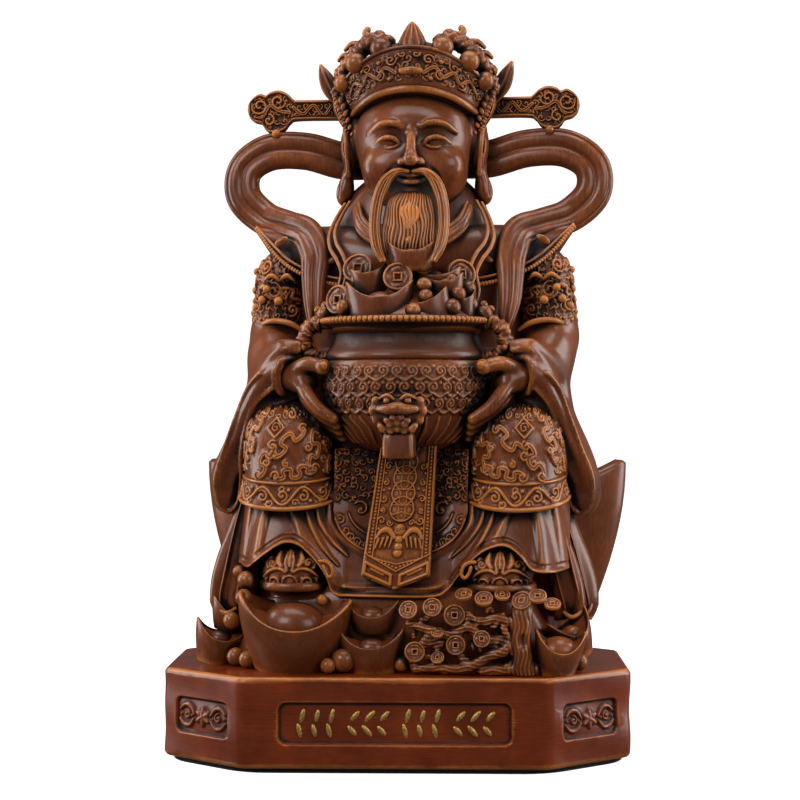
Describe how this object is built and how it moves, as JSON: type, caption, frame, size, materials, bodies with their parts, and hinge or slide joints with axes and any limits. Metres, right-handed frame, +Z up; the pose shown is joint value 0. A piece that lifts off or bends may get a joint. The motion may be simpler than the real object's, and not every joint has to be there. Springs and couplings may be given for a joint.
{
  "type": "wealth god figure",
  "caption": "Carved-look wealth god seated on a boat-shaped ingot, holding a heaped treasure pot, with looped ribbons, on an eight-sided plinth.",
  "frame": {"origin": "middle of the plinth's plan, on the underside of the pad", "axes": "+Z up, -Y the way the plinth's inscribed face looks, +X to the viewer's right"},
  "size_m": [0.2646, 0.1634, 0.4171],
  "materials": {
    "carved_resin": "cast resin stained like dark red-brown wood, dark glaze in the cuts, amber ridges, soft gloss",
    "plinth_resin": "same resin with long brushed streaks like wood grain, soft gloss",
    "pad": "matt black foam pad",
    "gold_paint": "dull gold paint on the raised strokes"
  },
  "bodies": {
    "root": {"figure": "carved_resin", "plinth": "plinth_resin", "base_pad": "pad"}
  },
  "joints": []
}
